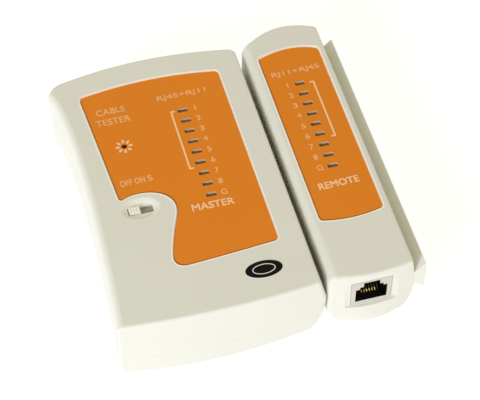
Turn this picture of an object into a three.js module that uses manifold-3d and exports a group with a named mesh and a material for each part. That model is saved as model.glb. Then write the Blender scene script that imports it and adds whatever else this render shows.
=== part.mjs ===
// Two-piece network cable tester: a master unit and a remote unit lying side by side.
// Millimetres, +Z up, both units resting on z = 0, near ends towards -Y.
import * as THREE from 'three';
import { mergeGeometries, mergeVertices } from 'three/addons/utils/BufferGeometryUtils.js';
import { ParametricGeometry } from 'three/addons/geometries/ParametricGeometry.js';
import Module from 'manifold-3d';

const wasm = await Module();
wasm.setup();

// ---- driving dimensions -------------------------------------------------------------
const HEIGHT = 28.2;
const PARTING = 9;
const WALL = 2;
const GAP = 0.3;
const RECESS = 0.55;
const LABEL_THICK = 0.25;

// where the corner datum of each unit lies in the shared frame (near right corner of the
// master's top face, near left corner of the remote's top face)
const MASTER_AT = { x: 17.56, y: -59.74 };
const REMOTE_AT = { x: 19.81, y: -59.74 };

// plan of each unit, from its own datum: side and end positions, how far the ends bow out,
// how far the near end leans out at the bottom, the radii of its corners and edges, and how
// far the right side draws in from its widest height up to the top and down to the bottom
const SIDE_WIDEST = 18;
const MASTER = {
  leftNear: -73.7, leftFar: -74.9, waistNear: -70.8, waistFar: -68.6, right: 2.5, near: 0.1,
  farLeft: 115.8, farRight: 116.4,
  nearBow: 1.7, farBow: 3.8, leanEnds: 0.7, leanBow: 1.3, tuckFarLeft: 1,
  cornerNearLeft: 1.2, cornerNearRight: 1.8, cornerFarRight: 2.6, cornerFarLeft: 4.6,
  topLeft: 2.9, topRight: 0.7, topEnds: 0.8, bottomLeft: 1.8, bottomRight: 3, bottomEnds: 1.6,
  sideTop: 2.5, sideBottom: 5.5,
};
const REMOTE = {
  leftNear: 0.65, leftFar: 0.65, waistNear: 0.65, waistFar: 0.65, right: 33.6, near: 0.3,
  farLeft: 117.9, farRight: 119.5,
  nearBow: 1.4, farBow: 3.9, leanEnds: 0.6, leanBow: 0.6, tuckFarLeft: 0,
  cornerNearLeft: 2.4, cornerNearRight: 1.2, cornerFarRight: 1.2, cornerFarLeft: 3.6,
  topLeft: 3.8, topRight: 0.7, topEnds: 0.8, bottomLeft: 10, bottomRight: 5, bottomEnds: 2,
  sideTop: 1.5, sideBottom: 3.9,
};

// heights of the rings the case surfaces are lofted through
const RINGS = [0, 0.4, 1.3, 2.8, 5.2, PARTING, 12, 15, SIDE_WIDEST, 21, 24.4, 26, 27.2, 27.9, HEIGHT];

// light windows: nine in a column on each unit
const LED_COUNT = 9;
const LED_PITCH = 5.27;
const LED_SIZE = { x: 3.9, y: 1.8 };
const LED_SINK = 1.2;
const LED_FOOT = { grow: 0.3, high: 0.7 };
const MASTER_LEDS = { x: -27.05, y: 91.1 };
const REMOTE_LEDS = { x: 17.5, y: 92.4 };
const POWER_LED = { x: -52.5, y: 79.5, radius: 1 };

// circuit boards and the sockets hanging under them
const BOARD = { bottom: 23.6, thick: 1.6 };
const SOCKET_HEIGHT = 12.7;
const SOCKET_BOTTOM = BOARD.bottom - SOCKET_HEIGHT;
const RJ45 = { width: 15.24, depth: 21, openWidth: 12, contacts: 8, latch: 6.1, shoulder: 8.8 };
const RJ11 = { width: 13.2, depth: 18, openWidth: 9.7, contacts: 6, latch: 3.6, shoulder: 6.2 };
const OPENING = { bottom: 1.7, height: 7.0, shoulder: 1.2, latch: 3.4, depth: 13.5 };
const CONTACT = { pitch: 1.02, size: 0.45, from: 3.0, to: 11.5, rise: 2.3 };
const MASTER_RJ45_X = -46;
const MASTER_RJ11_X = -21;
const REMOTE_SOCKET_X = 16.55;
const REMOTE_NEAR_FACE = -0.75;
const MASTER_FAR_FACE = 118.9;
const REMOTE_FAR_FACE = 121.5;
// flat frame let into the curved end around each socket: its margin at the sides, below and
// above, how far the socket stands out of it, and the play around the socket
const FRAME = { side: 2, below: 3, above: 1.1, proud: 0.15, play: 0.12 };

// dovetail rail on the remote and the groove it slides into
const RAIL = { reach: 3.5, neckLow: 14.8, neckHigh: 21.4, tipLow: 11.2, tipHigh: 25, from: 0.2, to: 114 };
const GROOVE_FROM = 6.5;
const GROOVE_DEEPER = 0.7;
const DOVETAIL_CLEAR = 0.2;

// slide switch in an oval dish; a flange on its thumb piece closes the slot from below
const SWITCH = { x: -53.6, y: 49.3, dishX: 7.6, dishY: 5.1, dishDepth: 1.3, floor: 1 };
const KNOB = { x: 4.4, y: 2.9, top: HEIGHT - 0.2, travel: 4.4, groove: 0.5 };
const SLOT = { x: KNOB.x + KNOB.travel + 2 * GAP, y: KNOB.y + 2 * GAP };
const FLANGE = { bottom: 25.3, top: 25.7, x: 4.9, y: 0.9 };
const SWITCH_BODY = { x: 13, y: 6.4, top: 25.2, bottom: 19.4, earX: 9, earY: 1.6, earHigh: 0.8 };

// 9 V battery bay in the near part of the master
const BATTERY = { left: -60.6, right: -14.2, near: 6.2, far: 32.4, bottom: 3.1, top: 20.3, stud: 2.1 };
const DOOR = { left: -63.6, right: -12.6, near: 4.6, far: 33.2, thick: 2, bottom: 0.1 };
const TONGUE = { at: [9, 24], width: 5, back: 3, reach: 1.6, low: 2.2, high: 2.9 };
const CATCH = { at: 1.2, thick: 1, near: 14, far: 24 };
const GRIP = { at: 5, pitch: 2.2, width: 0.9, near: 13, far: 25, deep: 0.5 };
const BAY_WALL = { left: -66.8, right: -12.2, from: 0.8, to: 2 };
const STUD = { radius: 2.8, offset: 6.35 };
const SNAP = { halfWidth: 12, halfHeight: 5.5, thick: 1.6, cup: 3.6, cupThick: 0.8 };

const MASTER_POSTS = [[-67.0, 4.6], [-9.2, 4.6], [-66.6, 106], [-9.4, 108]];
const REMOTE_POSTS = [[12, 27], [12, 98]];
const POST_RADIUS = 2.8;
const SCREW = { head: 2.4, headHeight: 1.4, shank: 1.2, hole: 1.5, seat: 2.4, top: 17 };

// short pegs that hold the master board under the front shell
const BOSSES = [[-60, 95], [-13.8, 95], [-60, 66], [-13.8, 60]];
const BOSS_RADIUS = 1.5;
const MASTER_BOARD = { left: -62.2, right: -12.4, near: 36.5, far: 112.5 };
const REMOTE_BOARD = { left: 4.6, right: 28.4, near: 3, far: 115.5 };

const CHIPS = {
  counter: { x: -42, y: 66, length: 19.4, legs: 8 },
  timer: { x: -42, y: 88, length: 9.6, legs: 4 },
};
const CHIP = { halfWidth: 3.2, thick: 3, gap: 0.5, legPitch: 2.54, legOut: 3.8, legHalf: 0.4, legDrop: 1.1 };
const CAPACITOR = { x: -19, y: 50, radius: 2.5, length: 8.5 };

const BADGE = { x: -17.9, y: 11.2, rx: 7.1, ry: 3.8, thick: 0.12 };
const LEAD_RADIUS = 0.65;

// ---- helpers ------------------------------------------------------------------------

// closed solid from a three.js geometry; triangles folded flat by merging are dropped
function solid(geometry) {
  const bare = geometry.clone();
  bare.deleteAttribute('normal');
  bare.deleteAttribute('uv');
  const merged = mergeVertices(bare, 1e-4);
  const triangles = [];
  const index = merged.index.array;
  for (let i = 0; i < index.length; i += 3) {
    const [a, b, c] = [index[i], index[i + 1], index[i + 2]];
    if (a !== b && b !== c && c !== a) triangles.push(a, b, c);
  }
  return new wasm.Manifold(new wasm.Mesh({
    numProp: 3,
    vertProperties: new Float32Array(merged.attributes.position.array),
    triVerts: new Uint32Array(triangles),
  }));
}

function geometryOf(body) {
  const mesh = body.getMesh();
  const geometry = new THREE.BufferGeometry();
  geometry.setAttribute('position', new THREE.BufferAttribute(mesh.vertProperties, 3));
  geometry.setIndex(new THREE.BufferAttribute(mesh.triVerts, 1));
  return geometry;
}

function box(x0, x1, y0, y1, z0, z1) {
  const geometry = new THREE.BoxGeometry(x1 - x0, y1 - y0, z1 - z0);
  geometry.translate((x0 + x1) / 2, (y0 + y1) / 2, (z0 + z1) / 2);
  return solid(geometry);
}

// upright cylinder or cone
function pillar(x, y, z0, z1, radius, topRadius = radius, sides = 16) {
  const geometry = new THREE.CylinderGeometry(topRadius, radius, z1 - z0, sides);
  geometry.rotateX(Math.PI / 2);
  geometry.translate(x, y, (z0 + z1) / 2);
  return solid(geometry);
}

// plan shape raised from z0 to z1
function plate(shape, z0, z1, divisions = 8) {
  const geometry = new THREE.ExtrudeGeometry(shape, {
    depth: z1 - z0, bevelEnabled: false, curveSegments: divisions,
  });
  geometry.translate(0, 0, z0);
  return solid(geometry);
}

// section drawn in X and Z, carried along Y
function bar(points, y0, y1) {
  const shape = new THREE.Shape(points.map(([x, z]) => new THREE.Vector2(x, z)));
  const geometry = new THREE.ExtrudeGeometry(shape, { depth: y1 - y0, bevelEnabled: false });
  geometry.rotateX(Math.PI / 2);
  geometry.translate(0, y1, 0);
  return solid(geometry);
}

function ellipse(x, y, rx, ry) {
  const shape = new THREE.Shape();
  shape.absellipse(x, y, rx, ry, 0, 2 * Math.PI, false, 0);
  return shape;
}

function union(bodies) {
  return bodies.reduce((whole, body) => whole.add(body));
}

function material(color, roughness, metalness = 0) {
  return new THREE.MeshStandardMaterial({ color, roughness, metalness });
}

const CREAM = () => material(0xdcdacc, 0.5);
const ORANGE = () => material(0xd97720, 0.45);
const LENS = () => material(0x5d5a4e, 0.3);
const SOCKET = () => material(0xc9c6bb, 0.5);
const BLACK = () => material(0x1c1c1e, 0.5);
const GOLD = () => material(0xc9a24a, 0.3, 1);
const STEEL = () => material(0xb9bbbd, 0.35, 1);
const BOARD_GREEN = () => material(0x2f6b3c, 0.55);
const RED = () => material(0xb3261e, 0.5);

function part(name, body, look) {
  const mesh = new THREE.Mesh(geometryOf(body), look());
  mesh.name = name;
  return mesh;
}

// ---- case surfaces ------------------------------------------------------------------

// how far a rounded edge of this radius is set back at a given distance from its face
function setBack(distance, radius) {
  if (distance >= radius) return 0;
  return radius - Math.sqrt(Math.max(radius ** 2 - (radius - distance) ** 2, 0));
}

// plan outline of a case at height z, moved inwards by `inset`
function caseOutline(unit, z, inset) {
  const above = HEIGHT - z;
  const lean = 1 - z / HEIGHT;
  const sideIn = z > SIDE_WIDEST
    ? (unit.sideTop * (z - SIDE_WIDEST)) / (HEIGHT - SIDE_WIDEST)
    : unit.sideBottom * (1 - z / SIDE_WIDEST) ** 2;
  const leftIn = inset + setBack(above, unit.topLeft) + setBack(z, unit.bottomLeft);
  const rightIn = inset + sideIn + setBack(above, unit.topRight) + setBack(z, unit.bottomRight);
  const endIn = inset + setBack(above, unit.topEnds) + setBack(z, unit.bottomEnds);
  const leftNear = unit.leftNear + leftIn;
  const leftFar = unit.leftFar + leftIn + unit.tuckFarLeft * lean;
  const waistNear = unit.waistNear + leftIn;
  const waistFar = unit.waistFar + leftIn;
  const right = unit.right - rightIn;
  const near = unit.near + endIn - unit.leanEnds * lean;
  const farLeft = unit.farLeft - endIn;
  const farRight = unit.farRight - endIn;
  const nearControl = near - 2 * (unit.nearBow + unit.leanBow * lean);
  const farControl = (farLeft + farRight) / 2 + 2 * unit.farBow;
  const middleNear = (leftNear + right) / 2;
  const middleFar = (leftFar + right) / 2;
  const nl = unit.cornerNearLeft;
  const nr = unit.cornerNearRight;
  const fr = unit.cornerFarRight;
  const fl = unit.cornerFarLeft;
  const shape = new THREE.Shape();
  shape.moveTo(leftNear + nl, near);
  shape.quadraticCurveTo(middleNear, nearControl, right - nr, near);
  shape.quadraticCurveTo(right, near, right, near + nr);
  shape.lineTo(right, farRight - fr);
  shape.quadraticCurveTo(right, farRight, right - fr, farRight + 0.6);
  shape.quadraticCurveTo(middleFar, farControl, leftFar + fl, farLeft + 0.8);
  shape.quadraticCurveTo(leftFar, farLeft - 0.6, leftFar, farLeft - fl);
  shape.bezierCurveTo(waistFar, farLeft * 0.84, waistNear, farLeft * 0.3, leftNear, near + nl);
  shape.quadraticCurveTo(leftNear, near, leftNear + nl, near);
  return shape.getPoints(8).slice(0, -1);
}

// solid skinned through the outlines at the given heights, closed by flat ends
function loft(unit, heights, inset = 0) {
  const rings = heights.map((z) => caseOutline(unit, z, inset));
  const count = rings[0].length;
  const centre = new THREE.Vector2((unit.leftNear + unit.right) / 2, (unit.near + unit.farLeft) / 2);
  const last = heights.length + 1;
  const surface = new ParametricGeometry((u, v, target) => {
    const level = Math.round(v * last);
    const ring = Math.min(Math.max(level - 1, 0), heights.length - 1);
    const point = level === 0 || level === last ? centre : rings[ring][Math.round(u * count) % count];
    target.set(point.x, point.y, heights[ring]);
  }, count, last);
  return solid(surface);
}

function caseCavity(unit) {
  const heights = [WALL, 4.6, PARTING, SIDE_WIDEST, 24.4, HEIGHT - WALL];
  return loft(unit, heights, WALL);
}

function half(whole, upper) {
  const span = 400;
  const slab = upper
    ? box(-span, span, -span, span, PARTING, HEIGHT + 1)
    : box(-span, span, -span, span, -1, PARTING);
  return whole.intersect(slab);
}

function windows(leds, margin, z0, z1) {
  const holes = [];
  for (let i = 0; i < LED_COUNT; i += 1) {
    holes.push(windowBlock(leds.x, leds.y - i * LED_PITCH, margin, z0, z1));
  }
  return union(holes);
}

// flat frame cut into a curved end around a socket, with the socket's own hole; `way` is
// -1 at the near end and +1 at the far end
function socketCut(centreX, face, socket, way) {
  const frameHalf = socket.width / 2 + FRAME.side;
  const floor = face - way * FRAME.proud;
  const holeHalf = socket.width / 2 + FRAME.play;
  const outer = face + way * 8;
  const inner = face - way * (WALL + 6);
  const framePocket = box(centreX - frameHalf, centreX + frameHalf, Math.min(floor, outer),
    Math.max(floor, outer), SOCKET_BOTTOM - FRAME.below, BOARD.bottom + FRAME.above);
  const hole = box(centreX - holeHalf, centreX + holeHalf, Math.min(inner, outer),
    Math.max(inner, outer), SOCKET_BOTTOM - FRAME.play, BOARD.bottom + FRAME.play);
  return framePocket.add(hole);
}

function screwPosts(posts, z0, z1) {
  return union(posts.map(([x, y]) => pillar(x, y, z0, z1, POST_RADIUS)));
}

function screwHoles(posts, z0, z1, radius) {
  return union(posts.map(([x, y]) => pillar(x, y, z0, z1, radius, radius, 16)));
}

function seatAndHole(posts) {
  const seats = screwHoles(posts, -1, SCREW.seat, SCREW.head + GAP);
  return seats.add(screwHoles(posts, -1, PARTING + 1, SCREW.hole));
}

// ---- labels -------------------------------------------------------------------------

function masterLabelShape(grow) {
  const g = grow;
  const shape = new THREE.Shape();
  shape.moveTo(-61.5, 107.3 + g);
  shape.quadraticCurveTo(-35.5, 111.8 + g, -10.6, 107.2 + g);
  shape.quadraticCurveTo(-9.1 + g, 106.9 + g, -9.1 + g, 105.4);
  shape.lineTo(-9.1 + g, 24.6);
  shape.quadraticCurveTo(-9.1 + g, 22.7 - g, -11.2, 22.5 - g);
  shape.quadraticCurveTo(-26, 21.3 - g, -42.2, 20.4 - g);
  shape.quadraticCurveTo(-47.4 - g, 20.1 - g, -47.4 - g, 24.4);
  shape.quadraticCurveTo(-46.6 - g, 30, -41.6 - g, 42.4);
  shape.quadraticCurveTo(-39.3 - g, 48.2, -42.2 - g, 52 - g);
  shape.bezierCurveTo(-45.6, 56.6 - g, -54.5, 57.4 - g, -58.7, 55 - g);
  shape.quadraticCurveTo(-60 - g, 54.4 - g, -60.2 - g, 56.2);
  shape.quadraticCurveTo(-61.6 - g, 78, -63.5 - g, 104.6);
  shape.quadraticCurveTo(-63.8 - g, 107 + g, -61.5, 107.3 + g);
  return shape;
}

function remoteLabelShape(grow) {
  const g = grow;
  const left = 5.5 - g;
  const right = 29.5 + g;
  const shape = new THREE.Shape();
  shape.moveTo(left, 107.2);
  shape.quadraticCurveTo(left, 108.4 + g, left + 1.6, 108.9 + g);
  shape.quadraticCurveTo(18.5, 112.9 + g, right - 1.7, 109 + g);
  shape.quadraticCurveTo(right, 108.4 + g, right, 106.9);
  shape.lineTo(right, 28.2);
  shape.quadraticCurveTo(right, 26.9 - g, right - 1.5, 26.6 - g);
  shape.quadraticCurveTo(17, 24 - g, left + 1.4, 26.5 - g);
  shape.quadraticCurveTo(left, 26.8 - g, left, 28.1);
  shape.closePath();
  return shape;
}

function labelPlate(shape, leds) {
  const bottom = HEIGHT - RECESS;
  return plate(shape, bottom, bottom + LABEL_THICK).subtract(windows(leds, 0, bottom - 1, HEIGHT));
}

// ---- shared pieces ------------------------------------------------------------------

function boardTop() {
  return BOARD.bottom + BOARD.thick;
}

// block centred on (x, y), `grow` larger all round than a light window
function windowBlock(x, y, grow, z0, z1) {
  const halfX = LED_SIZE.x / 2 + grow;
  const halfY = LED_SIZE.y / 2 + grow;
  return box(x - halfX, x + halfX, y - halfY, y + halfY, z0, z1);
}

// flat-topped light, sunk in its window, with a wider foot standing on the board
function ledBody(x, y) {
  const body = windowBlock(x, y, -0.1, boardTop(), HEIGHT - LED_SINK);
  return body.add(windowBlock(x, y, LED_FOOT.grow, boardTop(), boardTop() + LED_FOOT.high));
}

function ledColumn(unitName, leds) {
  const pieces = [];
  for (let i = 0; i < LED_COUNT; i += 1) {
    const tag = i < LED_COUNT - 1 ? String(i + 1) : 'g';
    pieces.push(part(`${unitName}_led_${tag}`, ledBody(leds.x, leds.y - i * LED_PITCH), LENS));
  }
  return pieces;
}

// socket block with its plug opening; drawn with the opening towards -Y at y = 0
function socketBlock(socket) {
  const halfWidth = socket.width / 2;
  const floor = SOCKET_BOTTOM + OPENING.bottom;
  const ceiling = floor + OPENING.height;
  const block = box(-halfWidth, halfWidth, 0, socket.depth, SOCKET_BOTTOM, BOARD.bottom);
  const mouth = box(-socket.openWidth / 2, socket.openWidth / 2, -1, OPENING.depth, floor, ceiling);
  const shoulder = box(-socket.shoulder / 2, socket.shoulder / 2, -1, OPENING.depth - 4,
    ceiling - 1, ceiling + OPENING.shoulder);
  const latch = box(-socket.latch / 2, socket.latch / 2, -1, OPENING.depth - 6, ceiling - 1,
    ceiling + OPENING.latch);
  return block.subtract(union([mouth, shoulder, latch]));
}

// row of spring wires rising towards the back of the opening, joined by a carrier strip;
// the wires leave the floor of the opening by `lift`
function socketContacts(socket) {
  const floor = SOCKET_BOTTOM + OPENING.bottom;
  const lift = 0.12;
  const low = floor + lift;
  const { size, from, to, rise } = CONTACT;
  const wires = [];
  for (let i = 0; i < socket.contacts; i += 1) {
    const x = (i - (socket.contacts - 1) / 2) * CONTACT.pitch;
    const side = new THREE.Shape();
    side.moveTo(from, low);
    side.lineTo(from + 2, low);
    side.lineTo(to, low + rise - size);
    side.lineTo(to + 1, low);
    side.lineTo(OPENING.depth - lift, low);
    side.lineTo(OPENING.depth - lift, low + size);
    side.lineTo(to + 1.2, low + size);
    side.lineTo(to + 0.2, low + rise);
    side.lineTo(from, low + size);
    side.closePath();
    const wire = new THREE.ExtrudeGeometry(side, { depth: size, bevelEnabled: false });
    wire.rotateX(Math.PI / 2);
    wire.rotateZ(Math.PI / 2);
    wire.translate(x - size / 2, 0, 0);
    wires.push(solid(wire));
  }
  const halfRow = (socket.contacts * CONTACT.pitch) / 2;
  const strip = box(-halfRow, halfRow, OPENING.depth - 0.9, OPENING.depth - lift, low, low + size);
  return union([...wires, strip]);
}

// pair of meshes for a socket, set with its face at `face` and looking the given way
function socketPair(name, socket, x, face, way) {
  const pair = new THREE.Group();
  pair.add(part(`${name}_jack`, socketBlock(socket), SOCKET));
  pair.add(part(`${name}_contacts`, socketContacts(socket), GOLD));
  pair.position.set(x, face, 0);
  if (way > 0) pair.rotation.z = Math.PI;
  return pair;
}

// pan-head screw driven upwards from below
function screw(x, y) {
  const { head, headHeight, shank, seat, top } = SCREW;
  const low = seat - headHeight;
  const profile = [
    [0, low + 0.5], [0.5, low + 0.5], [0.7, low], [head - 0.5, low], [head, low + 0.5], [head, seat],
    [shank, seat], [shank, top - 1.2], [0, top],
  ].map(([r, z]) => new THREE.Vector2(r, z));
  const geometry = new THREE.LatheGeometry(profile, 12);
  geometry.rotateX(Math.PI / 2);
  geometry.translate(x, y, 0);
  return solid(geometry);
}

function screws(unitName, posts) {
  return posts.map(([x, y], i) => part(`${unitName}_screw_${i + 1}`, screw(x, y), STEEL));
}

// ---- master unit --------------------------------------------------------------------

function grooveSection(unit) {
  const mouth = unit.right + 3;
  const inner = unit.right - RAIL.reach - GROOVE_DEEPER;
  const c = DOVETAIL_CLEAR;
  const slope = (RAIL.tipHigh - RAIL.neckHigh) / RAIL.reach;
  const neckGrow = slope * 3;
  return [
    [mouth, RAIL.neckLow + neckGrow - c], [mouth, RAIL.neckHigh - neckGrow + c],
    [inner, RAIL.tipHigh + c], [inner, RAIL.tipLow - c],
  ];
}

// oval body around the switch; the radii are shares of the dish's own
function ovalWell(lowShare, highShare, z0, z1) {
  const well = pillar(0, 0, z0, z1, lowShare, highShare, 32);
  return well.scale([SWITCH.dishX, SWITCH.dishY, 1]).translate([SWITCH.x, SWITCH.y, 0]);
}

function masterFrontShell() {
  const housing = box(MASTER.right - RAIL.reach - 2.6, MASTER.right + 9, -20, 140, PARTING + 0.4, HEIGHT);
  const well = ovalWell(1.15, 1.15, HEIGHT - SWITCH.dishDepth - SWITCH.floor, HEIGHT);
  const cavity = caseCavity(MASTER).subtract(housing).subtract(well);
  let shell = half(loft(MASTER, RINGS), true).subtract(cavity);
  shell = shell.add(screwPosts(MASTER_POSTS, PARTING, HEIGHT - WALL + 0.5));
  shell = shell.add(union(BOSSES.map(
    ([x, y]) => pillar(x, y, boardTop(), HEIGHT - WALL + 0.5, BOSS_RADIUS))));
  shell = shell.subtract(screwHoles(MASTER_POSTS, PARTING - 1, SCREW.top + 2, SCREW.shank + 0.15));
  shell = shell.subtract(plate(masterLabelShape(0.35), HEIGHT - RECESS, HEIGHT + 1));
  shell = shell.subtract(windows(MASTER_LEDS, 0.1, HEIGHT - 5, HEIGHT + 1));
  shell = shell.subtract(pillar(POWER_LED.x, POWER_LED.y, HEIGHT - 5, HEIGHT + 1, POWER_LED.radius + 0.15));
  shell = shell.subtract(ovalWell(0.72, 1, HEIGHT - SWITCH.dishDepth, HEIGHT + 0.01));
  shell = shell.subtract(box(SWITCH.x - SLOT.x / 2, SWITCH.x + SLOT.x / 2, SWITCH.y - SLOT.y / 2,
    SWITCH.y + SLOT.y / 2, HEIGHT - 6, HEIGHT + 1));
  shell = shell.subtract(bar(grooveSection(MASTER), GROOVE_FROM, 140));
  shell = shell.subtract(socketCut(MASTER_RJ45_X, MASTER_FAR_FACE, RJ45, 1));
  return shell.subtract(socketCut(MASTER_RJ11_X, MASTER_FAR_FACE, RJ11, 1));
}

function doorOpening(margin, z0, z1) {
  return box(DOOR.left - margin, DOOR.right + margin, DOOR.near - margin, DOOR.far + margin, z0, z1);
}

function masterBackShell() {
  let shell = half(loft(MASTER, RINGS), false).subtract(caseCavity(MASTER));
  shell = shell.add(screwPosts(MASTER_POSTS, 0.6, PARTING));
  const bayWall = box(BAY_WALL.left, BAY_WALL.right, DOOR.far + BAY_WALL.from, DOOR.far + BAY_WALL.to,
    WALL - 0.5, PARTING - 0.2);
  shell = shell.add(bayWall);
  shell = shell.subtract(doorOpening(GAP, -1, WALL + 0.1));
  return shell.subtract(seatAndHole(MASTER_POSTS));
}

// door with a thumb catch at its free end and two tongues that reach over the case floor
function batteryDoor() {
  const low = DOOR.bottom;
  const inside = low + DOOR.thick - 0.3;
  const panel = doorOpening(0, low, low + DOOR.thick);
  const tongues = TONGUE.at.map((y) => {
    const arm = box(DOOR.right - TONGUE.back, DOOR.right - 0.6, y, y + TONGUE.width, inside, TONGUE.high);
    const tip = box(DOOR.right - 0.8, DOOR.right + TONGUE.reach, y, y + TONGUE.width,
      TONGUE.low, TONGUE.high);
    return arm.add(tip);
  });
  const catchLeft = DOOR.left + CATCH.at;
  const catchRib = box(catchLeft, catchLeft + CATCH.thick, CATCH.near, CATCH.far, inside, WALL + 2);
  const grips = [0, 1, 2].map((i) => {
    const x = DOOR.left + GRIP.at + i * GRIP.pitch;
    return box(x, x + GRIP.width, GRIP.near, GRIP.far, low - 0.5, low + GRIP.deep);
  });
  return union([panel, ...tongues, catchRib]).subtract(union(grips));
}

function masterBoard() {
  const { left, right, near, far } = MASTER_BOARD;
  const board = box(left, right, near, far, BOARD.bottom, boardTop());
  const aroundSwitch = box(SWITCH.x - 9.8, SWITCH.x + 10, SWITCH.y - 6.6, SWITCH.y + 6.6,
    BOARD.bottom - 1, boardTop() + 1);
  return board.subtract(aroundSwitch);
}

// round light with a rim and a low dome
function powerLed() {
  const { x, y, radius } = POWER_LED;
  const low = boardTop();
  const top = HEIGHT + 0.1;
  const profile = [new THREE.Vector2(0, low), new THREE.Vector2(radius + 0.3, low),
    new THREE.Vector2(radius + 0.3, low + 0.7), new THREE.Vector2(radius, low + 0.7),
    new THREE.Vector2(radius, top - 0.9), new THREE.Vector2(radius * 0.8, top - 0.35),
    new THREE.Vector2(radius * 0.42, top - 0.06), new THREE.Vector2(0, top)];
  const geometry = new THREE.LatheGeometry(profile, 20);
  geometry.rotateX(Math.PI / 2);
  geometry.translate(x, y, 0);
  return solid(geometry);
}

function switchBody() {
  const { x, y } = SWITCH;
  const { top, bottom, earX, earY, earHigh } = SWITCH_BODY;
  const body = box(x - SWITCH_BODY.x / 2, x + SWITCH_BODY.x / 2, y - SWITCH_BODY.y / 2,
    y + SWITCH_BODY.y / 2, bottom, top);
  return body.add(box(x - earX, x + earX, y - earY, y + earY, bottom, bottom + earHigh));
}

// thumb piece at the OFF end of its slot, with grooves across its top and a flange below
function switchKnob() {
  const left = SWITCH.x - KNOB.travel / 2 - KNOB.x / 2;
  const right = left + KNOB.x;
  const near = SWITCH.y - KNOB.y / 2;
  const far = SWITCH.y + KNOB.y / 2;
  const stem = box(left, right, near, far, FLANGE.bottom, KNOB.top);
  const flange = box(left - FLANGE.x, right + FLANGE.x, near - FLANGE.y, far + FLANGE.y,
    FLANGE.bottom, FLANGE.top);
  const cuts = [1, 2, 3].map((i) => {
    const x = left + (i * KNOB.x) / 4;
    return box(x - KNOB.groove / 2, x + KNOB.groove / 2, near - 1, far + 1, KNOB.top - KNOB.groove,
      KNOB.top + 1);
  });
  return stem.add(flange).subtract(union(cuts));
}

// round body lying along X, one on each battery stud's axis
function studPair(x0, x1, radius) {
  const middleY = (BATTERY.near + BATTERY.far) / 2;
  const middleZ = (BATTERY.bottom + BATTERY.top) / 2;
  return [-STUD.offset, STUD.offset].map((offset) => {
    const geometry = new THREE.CylinderGeometry(radius, radius, x1 - x0, 16);
    geometry.rotateZ(Math.PI / 2);
    geometry.translate((x0 + x1) / 2, middleY + offset, middleZ);
    return solid(geometry);
  });
}

// battery with its two snap studs on the left end
function battery() {
  const { left, right, near, far, bottom, top, stud } = BATTERY;
  const can = box(left, right, near, far, bottom, top);
  return union([can, ...studPair(left - stud, left + 0.5, STUD.radius)]);
}

function snapFace() {
  return BATTERY.left - BATTERY.stud - 0.1;
}

function snapConnector() {
  const face = snapFace();
  const middleY = (BATTERY.near + BATTERY.far) / 2;
  const middleZ = (BATTERY.bottom + BATTERY.top) / 2;
  const { halfWidth, halfHeight, thick, cup, cupThick } = SNAP;
  const back = face - cupThick;
  const base = box(back - thick, back, middleY - halfWidth, middleY + halfWidth,
    middleZ - halfHeight, middleZ + halfHeight);
  return union([base, ...studPair(back - 0.2, face, cup)]);
}

// insulated wire from the snap connector up to the board
function lead(offset) {
  const face = snapFace();
  const endX = -60 + offset * 1.6;
  const path = new THREE.CatmullRomCurve3([
    new THREE.Vector3(face - 1.5, 31.4 + LEAD_RADIUS, 11.4 - offset * 2),
    new THREE.Vector3(face - 1.2, 35.6, 13 - offset * 2),
    new THREE.Vector3(endX - 1, 38.6, 18),
    new THREE.Vector3(endX, 38.8, 22),
    new THREE.Vector3(endX, 38.8, BOARD.bottom - 0.05),
  ]);
  const shape = ellipse(0, 0, LEAD_RADIUS, LEAD_RADIUS);
  const geometry = new THREE.ExtrudeGeometry(shape, { steps: 20, extrudePath: path, curveSegments: 4 });
  return solid(geometry);
}

// chip with a row of legs down each long side, hanging under the board
function chip({ x, y, length, legs }) {
  const { halfWidth, thick, gap, legPitch, legOut, legHalf, legDrop } = CHIP;
  const bodyTop = BOARD.bottom - gap;
  const body = box(x - halfWidth, x + halfWidth, y - length / 2, y + length / 2, bodyTop - thick, bodyTop);
  const pins = [];
  for (let i = 0; i < legs; i += 1) {
    const legY = y + (i - (legs - 1) / 2) * legPitch;
    pins.push(box(x + halfWidth - 0.1, x + legOut, legY - legHalf, legY + legHalf, bodyTop - legDrop,
      BOARD.bottom));
    pins.push(box(x - legOut, x - halfWidth + 0.1, legY - legHalf, legY + legHalf, bodyTop - legDrop,
      BOARD.bottom));
  }
  return union([body, ...pins]);
}

function capacitor() {
  const { x, y, radius, length } = CAPACITOR;
  return pillar(x, y, BOARD.bottom - length, BOARD.bottom, radius);
}

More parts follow.
